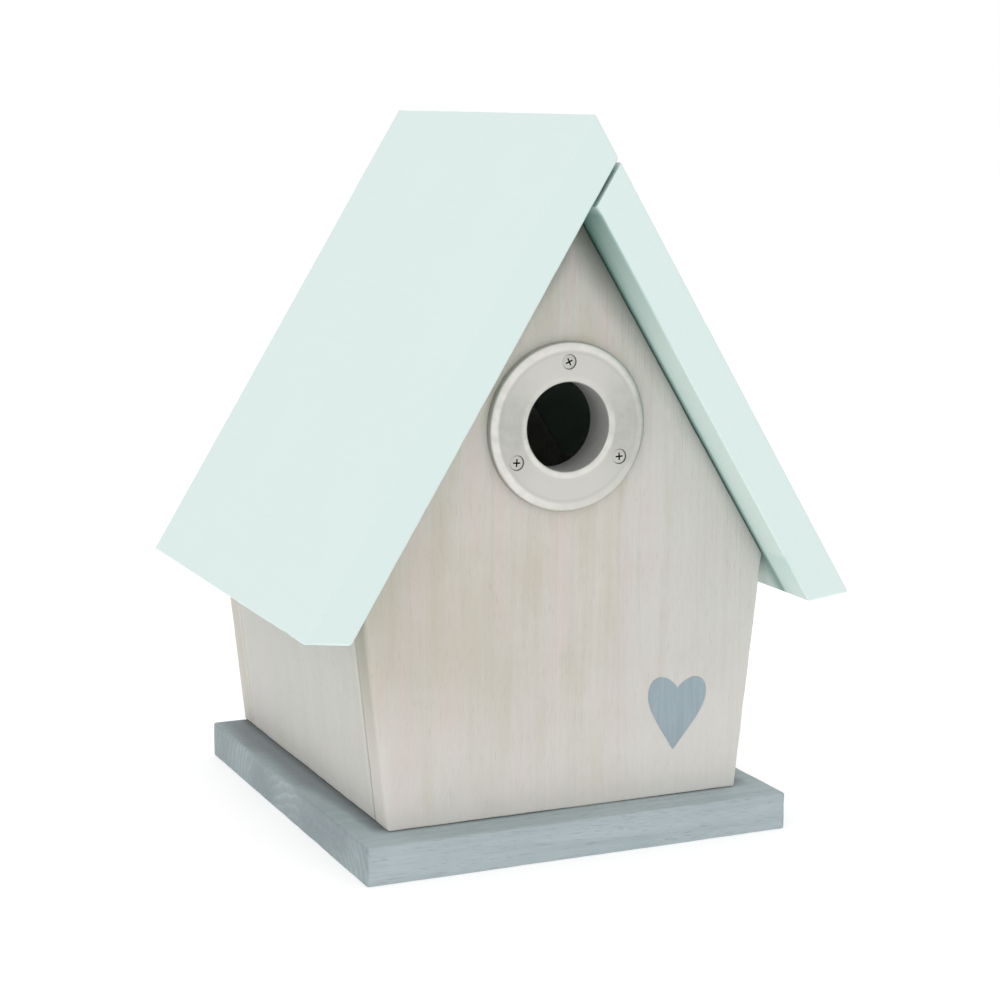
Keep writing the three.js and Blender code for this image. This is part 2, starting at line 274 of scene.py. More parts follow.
def softwood(s, along, strip=27.5, offset=5.5, pith=(12, 70), spacing=3.6, shift=(0, 0, 0)):
    """Edge-glued softwood strips: rings, fibres, pores, a tone for each strip, and glue lines."""
    across, depth, length = grain_space(s, along, shift)
    wood = {"across": across, "depth": depth, "length": length}
    position = s.math("DIVIDE", s.plus(across, offset), strip)
    index = s.math("FLOOR", position)
    tone = s.chance(index)
    turn = s.chance(s.plus(index, 17.3))
    drift = s.noise(s.vector(
        s.times(across, 0.02), s.times(depth, 0.02),
        s.plus(s.times(length, 0.005), s.times(index, 3.7))), detail=1.0)
    wander = s.times(s.minus(drift, 0.5), RING_WANDER)
    ring_x = s.plus(s.plus(across, s.times(turn, RING_SWING)), s.plus(wander, pith[0]))
    ring_y = s.plus(depth, s.plus(s.times(tone, RING_SINK), pith[1]))
    radius = s.hypotenuse(ring_x, ring_y)
    ripple = s.noise(stretch(s, wood, 0.12, 0.12, 0.012), detail=2.0)
    rings = s.math("FRACT", s.plus(s.math("DIVIDE", radius, spacing), ripple))
    middle = s.size(s.minus(s.math("FRACT", position), 0.5))
    wood["rings"] = s.times(
        s.spread(rings, 0.35, 0.9, smooth=True), s.spread(rings, 0.93, 1.0, 1.0, 0.0))
    wood["fibres"] = s.noise(stretch(s, wood, 2.2, 2.2, 0.06), detail=4.0, roughness=0.65)
    wood["pores"] = s.spread(s.noise(stretch(s, wood, 4.5, 4.5, 0.16), detail=2.0), 0.63, 0.75)
    wood["tone"] = tone
    wood["glue"] = s.spread(middle, 0.5 - GLUE_HALF_WIDTH / strip, 0.5)
    return wood


def grain_height(s, wood, rings, fibres):
    """How far the hard rings and the fibres stand out."""
    return s.plus(s.times(wood["rings"], rings), s.times(wood["fibres"], fibres))


# ---- Whitewashed boards ----

WASH_PALE = (0.630, 0.612, 0.568)
WASH_DEEP = (0.520, 0.492, 0.440)
WASH_TAN = (0.548, 0.505, 0.425)
WASH_ROSE = (0.620, 0.548, 0.520)
WASH_GREY = (0.588, 0.595, 0.576)
FOOT_LIGHTER = (0.735, 0.715, 0.680)
# Darker cut edges of the front panel: their own tone, with painted shade.
FLANK_TONE_AND_SHADE = (0.300, 0.300, 0.250)
WASH_PORE = (0.360, 0.330, 0.290)
WASH_GLUE = (0.400, 0.370, 0.330)
# Lighter edges: the wash rubbed thin, and a painted highlight.
WORN_AND_HIGHLIT = (0.740, 0.720, 0.660)
# Dark for the seams, and for the painted shade and painted contact shadow below the roof boards.
SEAM_AND_SHADE_DARK = (0.150, 0.158, 0.140)
BORE_GREY = (0.420, 0.420, 0.410)
# Painted shade deeper in the bore.
BORE_SHADE = (0.300, 0.300, 0.290)

# The marks and painted shade on the front panel, in millimetres. Each pair is the two ends of a
# fade: across from the middle, up from the base's underside, or away from the place that the
# name says.
NEAR_APEX = (-70, -15)
# For the painted shade below the roof boards: its reach, how much further it reaches at the apex,
# and the width of the darker painted contact shadow.
SHADE_REACH = (6.5, 9.0)
SHADE_MORE = 8.0
CONTACT_SHADOW_LINE = (0.0, 3.0)
TAN_ACROSS = (-8.0, -42.0)
TAN_TOP = (165.0, 110.0)
TAN_FOOT = (38.0, 80.0)
ROSE_SWAY = (1.0, 7.0)
ROSE_ACROSS = (1.0, 3.5)
ROSE_TOP = (138.0, 125.0)
ROSE_FOOT = (45.0, 75.0)
GREY_ACROSS = (5.0, 55.0)
PALE_FOOT = (75.0, 18.0)
FLANK_INWARD = (1.5, 4.0)
FLANK_UP = (40.0, 100.0)
BORE_WALL = (0.9, 0.4)
SEAM = (0.0, 1.6)


def whitewash(name, shift=(0, 0, 0), grey=0.0, detail=None):
    """Upright softwood under a thin grey-white wash, which is thinner over the hard rings.

    It has faint bands, tan and rose tints and soft patches, and lighter edges, where the wash is
    rubbed thin and a highlight is painted. detail adds one board's own marks, and on the front
    panel its painted shade.
    """
    s = Shading(name)
    wood = softwood(s, "z", shift=shift)
    streaks = s.noise(stretch(s, wood, 0.35, 0.35, 0.008), detail=4.0, roughness=0.55)
    bands = s.noise(stretch(s, wood, 0.075, 0.075, 0.004), detail=2.0)
    blush = s.noise(stretch(s, wood, 0.11, 0.11, 0.012), detail=1.0)
    cloud = s.noise(s.place, 0.014, detail=2.0)
    patches = s.noise(s.place, 0.035, detail=3.0, roughness=0.6)

    cover = s.plus(s.spread(streaks, 0.3, 0.7, 0.22, 0.48), s.spread(cloud, 0.3, 0.7, 0.0, 0.25))
    cover = s.plus(cover, s.spread(bands, 0.3, 0.7, -0.05, 0.3))
    cover = s.minus(cover, s.times(wood["rings"], 0.07))
    cover = s.plus(cover, s.spread(wood["fibres"], 0.3, 0.7, -0.05, 0.08), clamp=True)
    colour = s.mix(cover, WASH_DEEP, WASH_PALE)
    colour = s.mix(s.spread(blush, 0.50, 0.66, 0.0, 0.75), colour, WASH_TAN)
    colour = s.mix(s.spread(blush, 0.48, 0.34, 0.0, 0.70), colour, WASH_ROSE)
    colour = s.mix(s.spread(patches, 0.52, 0.66, 0.0, 0.35), colour, WASH_TAN)
    colour = s.mix(s.spread(patches, 0.46, 0.34, 0.0, 0.35), colour, WASH_PALE)
    colour = s.mix(grey, colour, WASH_GREY)
    tone = s.spread(wood["tone"], 0.0, 1.0, 0.975, 1.02)
    colour = s.mix(1.0, colour, s.vector(tone, tone, tone), "MULTIPLY")
    colour = s.mix(s.times(wood["pores"], 0.16), colour, WASH_PORE)
    colour = s.mix(s.times(wood["glue"], 0.14), colour, WASH_GLUE)
    # Lighter edges, where the wash is rubbed thin and a painted highlight stands for light caught
    # by the rounded edge.
    wear_and_highlight = s.times(s.attribute("edge"), s.spread(streaks, 0.3, 0.6, 0.3, 1.0))
    colour = s.mix(s.times(wear_and_highlight, 0.5), colour, WORN_AND_HIGHLIT)
    if detail is not None:
        colour = detail(s, colour)

    height = s.minus(grain_height(s, wood, 0.35, 0.8), s.times(wood["pores"], 0.4))
    roughness = s.spread(cover, 0.0, 1.0, 0.82, 0.66)
    return s.finish(colour, roughness, height, 0.00016, Specular_IOR_Level=0.3)


def from_entrance(s):
    """The offsets across and up from the middle of the entrance, and the distance from it."""
    off_x = s.minus(s.x, ring_centre.x / MM)
    off_z = s.minus(s.z, ring_centre.z / MM)
    return off_x, off_z, s.hypotenuse(off_x, off_z)


def gable_detail(s, colour):
    """The front panel's own marks, and its painted shade.

    They are painted shade below the roof boards, widest at the apex, with a darker painted
    contact shadow against them; a tan area on the left, a rose streak in the middle and a greyer
    right side; lighter towards the foot; darker cut edges, their own tone with painted shade that
    deepens upward; and the bare grey wall of the bore, with painted shade darker deeper in.
    """
    wobble = s.noise(s.place, 0.05, detail=2.0)
    # Painted shade below the roof boards, widest and darkest at the apex, and a darker painted
    # contact shadow right against them.
    drop = s.minus(apex_mm, s.plus(s.z, s.times(s.size(s.x), roof_slope)))
    away = s.times(drop, math.cos(math.atan(roof_slope)))
    high = s.fade(s.z, apex_mm, NEAR_APEX)
    reach = s.plus(s.spread(wobble, 0.3, 0.7, *SHADE_REACH), s.times(high, SHADE_MORE))
    shade_below_roof = s.spread(away, 0.0, reach, 1.0, 0.0, smooth=True)
    colour = s.mix(s.times(shade_below_roof, s.spread(high, 0.0, 1.0, 0.5, 0.97)), colour, SEAM_AND_SHADE_DARK)
    colour = s.mix(s.spread(away, *CONTACT_SHADOW_LINE, 0.8, 0.0), colour, SEAM_AND_SHADE_DARK)

    tan = s.times(s.spread(s.x, *TAN_ACROSS, smooth=True), s.spread(s.z, *TAN_TOP, smooth=True))
    tan = s.times(tan, s.spread(s.z, *TAN_FOOT, smooth=True))
    colour = s.mix(s.times(tan, s.spread(wobble, 0.35, 0.65, 0.25, 0.7)), colour, WASH_TAN)
    sway = s.plus(s.x, s.spread(wobble, 0.3, 0.7, *ROSE_SWAY))
    rose = s.times(s.spread(s.size(sway), *ROSE_ACROSS, 0.45, 0.0), s.spread(s.z, *ROSE_TOP))
    colour = s.mix(s.times(rose, s.spread(s.z, *ROSE_FOOT)), colour, WASH_ROSE)
    colour = s.mix(s.spread(s.x, *GREY_ACROSS, 0.0, 0.5, smooth=True), colour, WASH_GREY)
    # Lighter towards the bottom.
    foot = s.spread(s.z, *PALE_FOOT, 0.0, 0.62)
    colour = s.mix(s.times(foot, s.spread(wobble, 0.3, 0.7, 0.7, 1.0)), colour, FOOT_LIGHTER)
    # Darker cut edges: their own tone, with painted shade that deepens upward towards the roof.
    flank_darkening = s.times(s.fade(s.y, front_mm, FLANK_INWARD), s.spread(s.z, *FLANK_UP, 0.1, 0.5))
    colour = s.mix(flank_darkening, colour, FLANK_TONE_AND_SHADE)

    # The bare grey wall of the bore, with painted shade that darkens it deeper in.
    inside = s.fade(from_entrance(s)[2], ring_bore / MM, BORE_WALL)
    depth = s.spread(s.y, front_mm, back_mm)
    return s.mix(inside, colour, s.mix(depth, BORE_GREY, BORE_SHADE))


def wall_detail(s, colour):
    """A side wall's own marks: a dark seam where it meets the front panel and the back panel."""
    front_seam, rear_seam = (s.size(s.minus(s.y, seam)) for seam in (back_mm, rear_seam_mm))
    seam = s.spread(s.math("MINIMUM", front_seam, rear_seam), *SEAM, 0.5, 0.0)
    return s.mix(seam, colour, SEAM_AND_SHADE_DARK)


# ---- Mint roof boards ----

MINT = (0.672, 0.785, 0.763)
MINT_DEEP = (0.590, 0.735, 0.705)
# Under the roof boards: a paler, more saturated copy of the mint as painted light, a deeper one for
# painted shade, and a near-black one for painted shadows in the apex and at the joins.
MINT_UNDER_LIT = (0.740, 0.880, 0.840)
MINT_SHADE = (0.640, 0.820, 0.775)
MINT_NOOK_SHADOW = (0.100, 0.250, 0.210)

# Fades for the painted light and shade on the roof boards' undersides, in millimetres: behind
# the front panel's face, outward from the side wall's outer face, and up towards the gable's apex.
PAST_FRONT = (1, 8)
TO_FRONT = (-10, -1)
CONTACT_AT_FRONT = (-3.0, -0.5)
CREASE_AT_FRONT = (-2, 1)
WALL_START = (-1.0, 0.0)
WALL_SHADE = (1.0, 8.0)
WALL_CREASE = (0.0, 5.0)
UP_NOOK = (-60, 2)


def mint_underside_light(s):
    """Painted light under a roof board: a paler, more saturated copy of the mint, with painted
    shade beside the front and the walls, darkest in the apex, and painted shadows at the joins.
    """
    behind = s.fade(s.y, front_mm, PAST_FRONT, 1.0, 0.0)
    beside = s.minus(s.size(s.x), edge_mm)
    outside = s.spread(beside, *WALL_START)
    along_wall_shade = s.times(outside, s.spread(beside, *WALL_SHADE, 1.0, 0.0))
    inward_shade = s.times(s.fade(s.y, front_mm, TO_FRONT, smooth=True), behind)
    inward_shade = s.math("MAXIMUM", inward_shade, along_wall_shade)
    # Painted shadow up in the apex.
    nook_shade = s.times(s.fade(s.z, apex_mm, UP_NOOK), behind)
    nook_shade = s.times(nook_shade, s.spread(inward_shade, 0.0, 1.0, 0.7, 0.95))
    colour = s.mix(nook_shade, s.mix(inward_shade, MINT_UNDER_LIT, MINT_SHADE), MINT_NOOK_SHADOW)
    # A painted contact shadow against the front panel and the walls.
    join_shadow = s.fade(s.y, front_mm, CONTACT_AT_FRONT, 0.0, 0.7)
    join_shadow = s.times(join_shadow, s.math("MAXIMUM", behind, along_wall_shade))
    colour = s.mix(join_shadow, colour, MINT_NOOK_SHADOW)
    # A painted shadow in the crease beside each wall, from the front panel's face backward.
    crease_shadow = s.times(outside, s.spread(beside, *WALL_CREASE, 0.55, 0.0, smooth=True))
    crease_shadow = s.times(crease_shadow, s.fade(s.y, front_mm, CREASE_AT_FRONT))
    return s.mix(crease_shadow, colour, MINT_NOOK_SHADOW)


def mint_paint(name, shift=(0, 0, 0)):
    """Opaque satin paint, brushed along the ridge, with the grain just showing."""
    s = Shading(name)
    wood = softwood(s, "y", strip=52, shift=shift)
    brush = s.noise(stretch(s, wood, 1.1, 1.1, 0.03), detail=4.0, roughness=0.6)
    cloud = s.noise(s.place, 0.02, detail=3.0)
    peel = s.noise(s.place, 0.9, detail=2.0)
    thin = s.plus(s.times(wood["rings"], 0.05), s.spread(brush, 0.3, 0.75, 0.0, 0.04))
    thin = s.plus(thin, s.spread(cloud, 0.35, 0.7, 0.0, 0.10))
    # Faces underneath take painted light and shade instead of the plain paint.
    colour = s.mix(s.attribute("under"), s.mix(thin, MINT, MINT_DEEP), mint_underside_light(s))
    height = s.plus(s.times(brush, 0.7), s.times(peel, 0.35))
    height = s.plus(height, s.times(wood["rings"], 0.25))
    roughness = s.spread(brush, 0.3, 0.7, 0.46, 0.58)
    return s.finish(colour, roughness, height, 0.00007, Specular_IOR_Level=0.4)


# ---- Blue-grey base and heart ----

STAIN_PALE = (0.440, 0.505, 0.520)
STAIN_DEEP = (0.335, 0.400, 0.420)
STAIN_PORE = (0.180, 0.220, 0.235)
STAIN_END = (0.690, 0.690, 0.700)
STAIN_WORN = (0.440, 0.530, 0.530)
# Painted shade on the top beside the walls, and a darker painted contact shadow against them.
BASE_FOOT_SHADE = (0.175, 0.190, 0.200)
BASE_CONTACT_SHADOW = (0.085, 0.090, 0.090)
HEART_PALE = (0.334, 0.415, 0.452)
HEART_DEEP = (0.290, 0.364, 0.400)

# Fades on the base plate, in millimetres: from its end faces, from the front panel's face, down
# from its top, and outward from the side wall's foot, for the painted shade there.
END_GRAIN = (-1.2, -0.3)
END_WEAR = (-2.0, -0.3)
END_UNSHADED = (-1.5, -0.6)
TOP_FRONT = (-2, 6)
TOP_DOWN = (-1.5, -0.3)
SHADE_FRONT, SHADE_REAR = 5.0, 15.0
SHADE_REAR_Y = 60.0
SHADE_VARIES = 7.0
FOOT_CONTACT_REACH = (0.0, 4.0)


def blue_grey_stain(name):
    """Softwood under a blue-grey stain: darker, worn end grain, and painted shade by the walls.

    The painted shade lies on the top only, beside the side walls, darkest against their foot, and
    reaches further out at the rear.
    """
    s = Shading(name)
    wood = softwood(s, "x", strip=66, offset=20, pith=(10, 34), spacing=4.2)
    streaks = s.noise(stretch(s, wood, 0.3, 0.4, 0.012), detail=4.0, roughness=0.55)
    cloud = s.noise(s.place, 0.03, detail=3.0)
    cover = s.plus(s.spread(streaks, 0.3, 0.72, 0.2, 0.62), s.spread(cloud, 0.35, 0.7, 0.0, 0.35))
    cover = s.minus(cover, s.times(wood["rings"], 0.18))
    cover = s.plus(cover, s.spread(wood["fibres"], 0.3, 0.7, -0.1, 0.1), clamp=True)
    colour = s.mix(cover, STAIN_DEEP, STAIN_PALE)
    colour = s.mix(s.times(wood["pores"], 0.2), colour, STAIN_PORE)

    end = s.size(s.x)
    end_grain = s.mix(1.0, colour, STAIN_END, "MULTIPLY")
    colour = s.mix(s.fade(end, base_end_mm, END_GRAIN), colour, end_grain)
    worn = s.spread(wood["rings"], 0.1, 0.9, 0.25, 1.0)
    worn = s.times(worn, s.spread(cloud, 0.4, 0.65, 0.1, 1.0))
    worn = s.times(worn, s.fade(end, base_end_mm, END_WEAR, 0.0, 0.5))
    colour = s.mix(worn, colour, STAIN_WORN)

    # Painted shade on the top beside the side walls, further out at the rear and short of the ends,
    # and a darker painted contact shadow right at the walls' foot.
    beside = s.minus(end, foot_mm)
    on_top = s.times(s.fade(s.y, front_mm, TOP_FRONT), s.fade(s.z, base_top_mm, TOP_DOWN))
    reach = s.spread(s.y, front_mm, SHADE_REAR_Y, SHADE_FRONT, SHADE_REAR)
    reach = s.plus(reach, s.spread(cloud, 0.3, 0.7, 0.0, SHADE_VARIES))
    foot_shade = s.times(s.spread(beside, s.times(reach, 0.35), reach, 1.0, 0.0, smooth=True), on_top)
    foot_shade = s.times(foot_shade, s.fade(end, base_end_mm, END_UNSHADED, 1.0, 0.0))
    colour = s.mix(s.times(foot_shade, 0.7), colour, BASE_FOOT_SHADE)
    foot_contact_shadow = s.times(s.spread(beside, *FOOT_CONTACT_REACH, 0.45, 0.0, smooth=True), on_top)
    colour = s.mix(foot_contact_shadow, colour, BASE_CONTACT_SHADOW)

    height = s.minus(grain_height(s, wood, 0.5, 0.8), s.times(wood["pores"], 0.5))
    roughness = s.spread(cover, 0.0, 1.0, 0.74, 0.64)
    return s.finish(colour, roughness, height, 0.0002, Specular_IOR_Level=0.3)


def heart_paint(name):
    """A thin film of blue-grey paint that follows the grain below it."""
    s = Shading(name)
    wood = softwood(s, "z")
    streaks = s.noise(stretch(s, wood, 0.6, 1.0, 0.05), detail=5.0, roughness=0.65)
    cover = s.plus(s.spread(streaks, 0.3, 0.7), s.spread(wood["fibres"], 0.35, 0.7, -0.2, 0.25))
    cover = s.minus(cover, s.times(wood["rings"], 0.2), clamp=True)
    colour = s.mix(cover, HEART_DEEP, HEART_PALE)
    height = grain_height(s, wood, 0.4, 0.9)
    return s.finish(colour, 0.66, height, 0.00015, Specular_IOR_Level=0.3)


# ---- Metals ----

# The face: lighter above and below the bore and darker at its sides, as painted reflection.
RING_FAN_LIT = (0.598, 0.595, 0.555)
RING_CHEEK_SHADE = (0.518, 0.515, 0.480)
RING_DULL = (0.450, 0.450, 0.420)
# Painted highlight for the rim and lip.
RING_HIGHLIGHT = (0.755, 0.742, 0.700)
SCREW_METAL = (0.570, 0.566, 0.535)
ZINC = (0.660, 0.670, 0.680)
BRAD_METAL = (0.420, 0.420, 0.430)

# Fades on the ring, in millimetres: outward from its edge or its bore, and from its middle.
RIM_INNER = (-4.0, -2.6)
RIM_OUTER = (-0.2, -0.9)
GROOVE_INNER = (-5.2, -4.3)
GROOVE_OUTER = (-3.4, -4.1)
LIP_OUTER = (3.2, 1.8)
THROAT = (0.25, 0.05)
RIM_SHINE = (-5.0, 32.0)
LIP_SHINE = (12.0, -10.0)


def metal_mottle(s):
    return s.noise(s.place, 0.22, detail=4.0, roughness=0.6)


def metal_roughness(s, rough, lines, mottle):
    """The roughness, which varies with the tool's lines and with the mottling."""
    fine = s.spread(lines, 0.3, 0.7, rough - 0.06, rough + 0.06)
    return s.plus(fine, s.spread(mottle, 0.3, 0.7, 0.05, -0.03))


def metal_relief(s, lines, mottle):
    return s.plus(lines, s.times(mottle, 0.6))


def satin_metal(name, base, rough):
    """Satin metal, brushed and a little mottled, with painted shade deep in a recess."""
    s = Shading(name)
    mottle = metal_mottle(s)
    line_place = s.vector(s.times(s.x, 2.5), s.times(s.y, 2.5), s.times(s.z, 0.05))
    lines = s.noise(line_place, detail=3.0, roughness=0.6)
    dulled, brushed, recess_shade = (tuple(part * c for c in base) for part in (0.9, 0.86, 0.12))
    colour = s.mix(s.spread(mottle, 0.3, 0.7), dulled, base)
    colour = s.mix(s.spread(lines, 0.3, 0.7, 0.0, 0.25), colour, brushed)
    # Painted shade deep in the recess.
    colour = s.mix(s.attribute("recess"), colour, recess_shade)
    roughness = metal_roughness(s, rough, lines, mottle)
    return s.finish(colour, roughness, metal_relief(s, lines, mottle), 0.00001, Metallic=1.0)


def ring_satin(name):
    """Satin metal turned on a lathe: fine circles, a dull throat, and painted light.

    The painted reflection is lighter above and below the bore and darker at the sides; a painted
    dark ring of shade lies just inside the rounded edge; the rim and lip get painted highlights.
    """
    s = Shading(name)
    outer, bore = ring_radius / MM, ring_bore / MM
    off_x, off_z, radius = from_entrance(s)
    mottle = metal_mottle(s)
    lines = s.noise(s.vector(s.times(radius, 1.6), 0.0, 0.0), detail=3.0, roughness=0.7)
    # Painted reflection: lighter above and below the bore, darker at the sides.
    fan_reflection = s.spread(s.size(s.math("DIVIDE", off_z, radius)), 0.2, 0.95, smooth=True)
    cheek_shade = s.mix(s.spread(mottle, 0.3, 0.7), RING_DULL, RING_CHEEK_SHADE)
    colour = s.mix(fan_reflection, cheek_shade, RING_FAN_LIT)
    colour = s.mix(s.spread(lines, 0.3, 0.7, 0.0, 0.22), colour, RING_DULL)
    # A painted dark ring of shade just inside the rounded edge.
    groove_shade = s.times(s.fade(radius, outer, GROOVE_INNER), s.fade(radius, outer, GROOVE_OUTER))
    colour = s.mix(s.times(groove_shade, 0.35), colour, RING_DULL)

    # Painted highlights: on the rim, strongest to the left and top; on the lip, strongest below.
    rim = s.times(s.fade(radius, outer, RIM_INNER, smooth=True), s.fade(radius, outer, RIM_OUTER))
    rightward = s.minus(off_x, s.times(off_z, 0.6))
    rim = s.times(rim, s.spread(rightward, *RIM_SHINE, 0.95, 0.15, smooth=True))
    lip = s.fade(radius, bore, LIP_OUTER, smooth=True)
    lip = s.times(lip, s.spread(off_z, *LIP_SHINE, 0.2, 0.85))
    patchy = s.spread(mottle, 0.3, 0.65, 0.55, 1.0)
    colour = s.mix(s.times(s.math("MAXIMUM", rim, lip), patchy), colour, RING_HIGHLIGHT)

    throat = s.fade(radius, bore, THROAT)
    colour = s.mix(throat, colour, BORE_GREY)
    s.feed(s.shader.inputs["Metallic"], s.spread(throat, 0.0, 1.0, 1.0, 0.1))
    roughness = metal_roughness(s, 0.38, lines, mottle)
    return s.finish(colour, roughness, metal_relief(s, lines, mottle), 0.00004)


# ---- Mesh helpers ----

HULL_GRID = 0.01 * MM
HULL_ANGLE = math.radians(4)
SCREW_SIDES = 40


def add_object(name, mesh, body, material, slot, *nodes):
    """Adds a mesh as a piece that rides a body and stands in for CAD nodes."""
    piece = bpy.data.objects.new(name, mesh)
    bpy.context.scene.collection.objects.link(piece)
    mesh.materials.clear()
    mesh.materials.append(material)
    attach(piece, body)
    if nodes:
        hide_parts(*nodes)
    return piece


def mesh_of(bm, name):
    mesh = bpy.data.meshes.new(name)
    bm.normal_update()
    bm.to_mesh(mesh)
    bm.free()
    return mesh


def outline_of(node, drop):
    """The corners of a CAD node's hull seen along one axis, with that axis left out."""
    kept = [axis for axis in range(3) if axis != drop]
    vertices = np.array([v.co for v in frame["nodes"][node].data.vertices])[:, kept]
    points = [Vector(p) for p in np.unique((vertices / HULL_GRID).round(), axis=0) * HULL_GRID]
    hull = [points[i] for i in convex_hull_2d(points)]
    return [
        point for before, point, after in zip(hull[-1:] + hull, hull, hull[1:] + hull[:1])
        if (point - before).angle(after - point) > HULL_ANGLE]


def prism(node, drop):
    """The board's plain shape: its outline carried between its two faces."""
    low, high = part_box(node)
    bm = bmesh.new()
    rings = []
    for level in (low[drop], high[drop]):
        ring = []
        for corner in outline_of(node, drop):
            place = list(corner)
            place.insert(drop, level)
            ring.append(bm.verts.new(place))
        rings.append(ring)
    count = len(rings[0])
    bm.faces.new(rings[0])
    bm.faces.new(list(reversed(rings[1])))
    for i in range(count):
        bm.faces.new((rings[0][i], rings[0][i - 1], rings[1][i - 1], rings[1][i]))
    bmesh.ops.recalc_face_normals(bm, faces=bm.faces)
    return bm


def slice_up(bm, step):
    """Cuts a mesh along a grid, so that it has vertices to move."""
    for axis in range(3):
        values = [v.co[axis] for v in bm.verts]
        low, high = min(values), max(values)
        cuts = max(1, round((high - low) / step))
        normal = Vector([1.0 if i == axis else 0.0 for i in range(3)])
        for k in range(1, cuts):
            place = normal * (low + (high - low) * k / cuts)
            everything = bm.verts[:] + bm.edges[:] + bm.faces[:]
            bmesh.ops.bisect_plane(bm, geom=everything, plane_co=place, plane_no=normal)


def closeness(place, sharp, reach):
    """1 on one of the sharp edges given, falling to 0 at the reach."""
    nearest = reach
    for a, b in sharp:
        run = b - a
        t = min(1.0, max(0.0, (place - a).dot(run) / run.length_squared))
        nearest = min(nearest, (place - a - run * t).length)
    return 1.0 - nearest / reach


# Where the ridge slot's edges lie: across from the middle, and how far below the gable's apex.
SLOT_ACROSS = (0.2 * MM, 20 * MM)
SLOT_BELOW = 5 * MM


def beside_slot(edge):
    """Whether an edge runs along the slot at the ridge, where the two roof boards meet."""
    near, far = SLOT_ACROSS
    return all(near < v.co.x < far and v.co.z > gable_apex - SLOT_BELOW for v in edge.verts)


# How the boards are worked: rounded edges, then faces with a slight wave and nicks near the edges.
BOARD_EDGE = 0.8 * MM
ROOF_EDGE = 1.2 * MM
BASE_EDGE = 1.0 * MM
BOARD_STEP = 5 * MM
BOARD_WAVE = 0.12 * MM
WAVE_SCALE = 22
NICK_DEPTH = 0.5 * MM
NICK_SCALE = 140
NICK_SHIFT = Vector((3, 7, 11))
NICK_FROM, NICK_RAMP = 0.7, 0.3
WEAR_REACH = 4 * MM
UNDER_FACING = -0.35


def board_mesh(name, drop, edge):
    """A sawn board: rounded edges with small nicks, and faces that aren't quite flat.

    Its attributes swing with the lid. They say how near an edge a point is, and if it's underneath.
    """
    bm = prism(name, drop)
    sharp = [(e.verts[0].co.copy(), e.verts[1].co.copy()) for e in bm.edges]
    soft = [e for e in bm.edges if not (name.startswith("roof") and beside_slot(e))]
    bmesh.ops.bevel(bm, geom=soft, offset=edge, segments=4, profile=0.5, affect="EDGES")
    slice_up(bm, BOARD_STEP)
    bm.normal_update()
    worn = [closeness(v.co, sharp, WEAR_REACH) for v in bm.verts]
    under = [1.0 if v.normal.z < UNDER_FACING else 0.0 for v in bm.verts]
    for v, near in zip(bm.verts, worn):
        roll = 0.5 + 0.5 * noise.noise(v.co * WAVE_SCALE)
        spot = max(0.0, noise.noise(v.co * NICK_SCALE + NICK_SHIFT))
        chip = spot * max(0.0, near - NICK_FROM) / NICK_RAMP
        v.co -= v.normal * (BOARD_WAVE * roll + NICK_DEPTH * chip)
    mesh = mesh_of(bm, name)
    mesh.attributes.new("edge", "FLOAT", "POINT").data.foreach_set("value", worn)
    mesh.attributes.new("under", "FLOAT", "POINT").data.foreach_set("value", under)
    mesh.shade_smooth()
    return mesh


def lathe_ring(bm, radius, height, sides, matrix):
    """One ring of a turned shape, or a single vertex on the axis."""
    if radius < 1e-7:
        return [bm.verts.new(matrix @ Vector((0, 0, height)))]
    turns = [2 * math.pi * k / sides for k in range(sides)]
    places = [Vector((radius * math.cos(turn), radius * math.sin(turn), height)) for turn in turns]
    return [bm.verts.new(matrix @ place) for place in places]


def lathe(bm, profile, sides, matrix, closed):
    """Turns a profile of (radius, height) round the matrix's Z axis."""
    rings = [lathe_ring(bm, radius, height, sides, matrix) for radius, height in profile]
    followers = rings[1:] + rings[:1] if closed else rings[1:]
    for first, second in zip(rings, followers):
        for k in range(sides):
            corners = [first[k % len(first)], first[(k + 1) % len(first)],
                       second[(k + 1) % len(second)], second[k % len(second)]]
            distinct = list(dict.fromkeys(corners))
            if len(distinct) > 2:
                bm.faces.new(distinct)


def arc(centre_x, centre_y, radius, start, end, steps):
    """Part of a circle, or of an ellipse when radius is its pair of half axes."""
    wide, tall = radius if isinstance(radius, tuple) else (radius, radius)
    angles = [math.radians(start + (end - start) * k / steps) for k in range(steps + 1)]
    return [(centre_x + wide * math.cos(a), centre_y + tall * math.sin(a)) for a in angles]


def turned(profile, sides, matrix, closed=False):
    bm = bmesh.new()
    lathe(bm, profile, sides, matrix, closed)
    bmesh.ops.recalc_face_normals(bm, faces=bm.faces)
    return mesh_of(bm, "turned")


def cylinder(radius, low, high, sides, matrix):
    return turned([(0, low), (radius, low), (radius, high), (0, high)], sides, matrix)


def block(low, high, matrix):
    bm = bmesh.new()
    bmesh.ops.create_cube(bm, size=1)
    for v in bm.verts:
        v.co = Vector([(a + b) / 2 + c * (b - a) for a, b, c in zip(low, high, v.co)])
    bm.transform(matrix)
    bmesh.ops.recalc_face_normals(bm, faces=bm.faces)
    return mesh_of(bm, "block")


